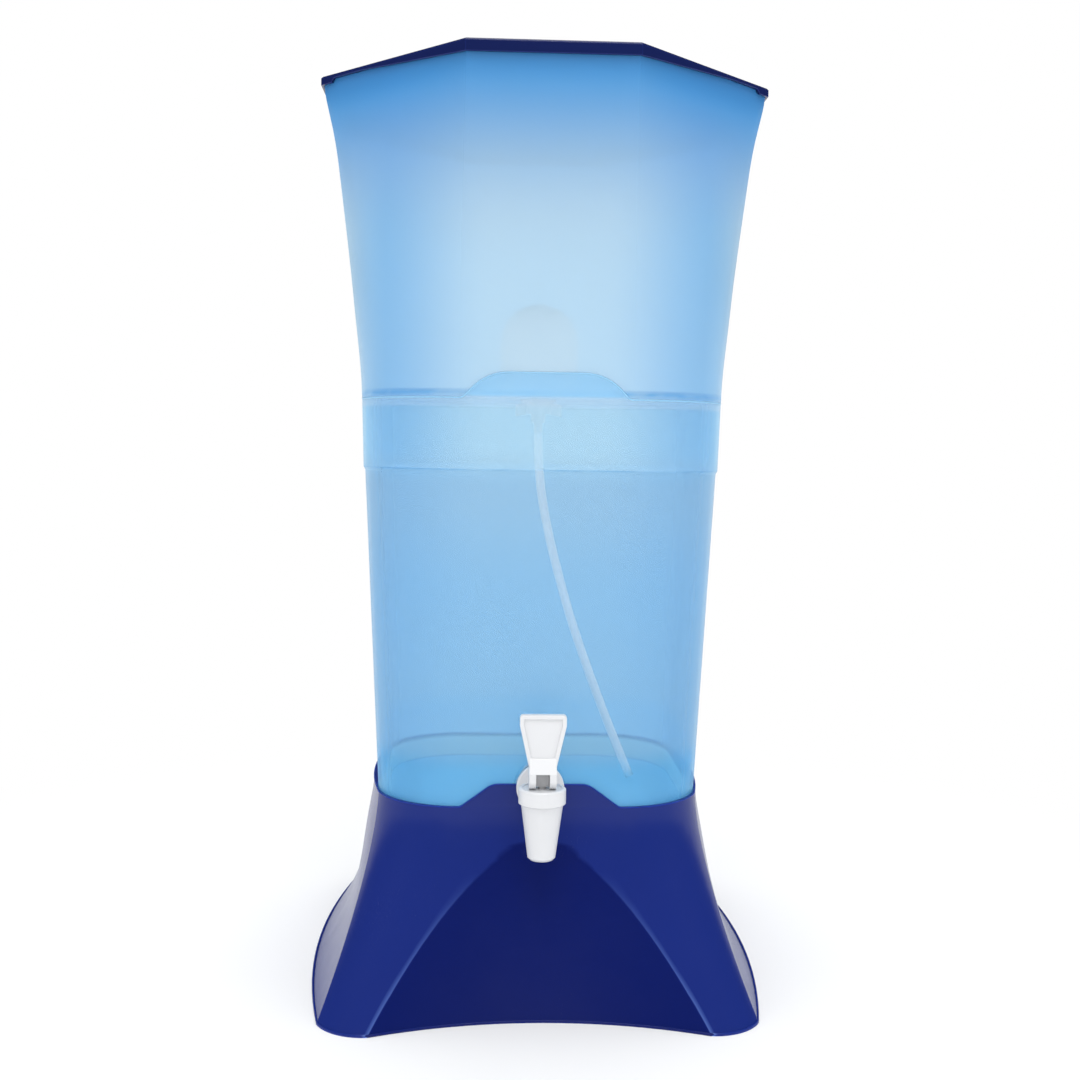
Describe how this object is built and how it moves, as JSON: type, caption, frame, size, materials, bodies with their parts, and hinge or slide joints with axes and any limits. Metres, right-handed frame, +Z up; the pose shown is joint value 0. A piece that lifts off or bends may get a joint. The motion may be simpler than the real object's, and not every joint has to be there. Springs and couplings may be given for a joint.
{
  "type": "gravity water filter with tap",
  "caption": "Free-standing two-tier gravity water filter: translucent blue containers with a ceramic candle, navy flared stand and lid, white lever tap.",
  "frame": {"origin": "middle of the stand's footprint, on the table", "axes": "+Z up; the tap faces -Y; +X to the right seen from the front"},
  "size_m": [0.2772, 0.2913, 0.5501],
  "materials": {
    "navy_plastic": "glossy injection-moulded navy plastic",
    "blue_plastic": "frosted translucent light-blue polypropylene",
    "white_plastic": "satin white plastic",
    "grey_plastic": "matt grey plastic",
    "ceramic": "unglazed white ceramic",
    "carbon": "black carbon granules",
    "felt": "white felt",
    "rubber": "pale food-grade rubber",
    "silicone": "translucent silicone",
    "clear_hose": "clear soft vinyl hose",
    "spring_steel": "bright stainless wire"
  },
  "bodies": {
    "stand": {"stand": "navy_plastic"},
    "lower_vessel": {"lower_container": "blue_plastic", "tap_body": "white_plastic", "tap_bonnet": "white_plastic", "stem_spring": "spring_steel", "outer_gasket": "rubber", "inner_gasket": "rubber", "tap_nut": "white_plastic"},
    "stem": {"tap_stem": "grey_plastic", "valve_seal": "silicone", "lever_pin": "spring_steel"},
    "lever": {"tap_lever": "white_plastic"},
    "upper_vessel": {"upper_container": "blue_plastic", "candle_shell": "ceramic", "carbon_core": "carbon", "carbon_pad": "felt", "candle_base": "white_plastic", "candle_gasket": "rubber", "wing_nut": "white_plastic", "outlet_hose": "clear_hose"},
    "lid": {"lid": "navy_plastic"}
  },
  "joints": [
    {"name": "lower_vessel_lift", "type": "slide", "parent": "stand", "child": "lower_vessel", "axis": [0, 0, 1], "range_m": [0, 0.12]},
    {"name": "upper_vessel_lift", "type": "slide", "parent": "lower_vessel", "child": "upper_vessel", "axis": [0, 0, 1], "range_m": [0, 0.27]},
    {"name": "lid_lift", "type": "slide", "parent": "upper_vessel", "child": "lid", "axis": [0, 0, 1], "range_m": [0, 0.2]},
    {"name": "stem_lift", "type": "slide", "parent": "lower_vessel", "child": "stem", "axis": [0, 0, 1], "range_m": [0, 0.00331], "deforming": ["stem_spring"]},
    {"name": "lever_tilt", "type": "hinge", "parent": "stem", "child": "lever", "pos_m": [0, -0.125, 0.1385], "axis": [1, 0, 0], "range_deg": [0, 80], "stiffness_Nm_per_rad": 0.02}
  ],
  "couplings": [
    {"joint": "stem_lift", "follows": "lever_tilt", "m_per_rad": 0.0023635}
  ]
}
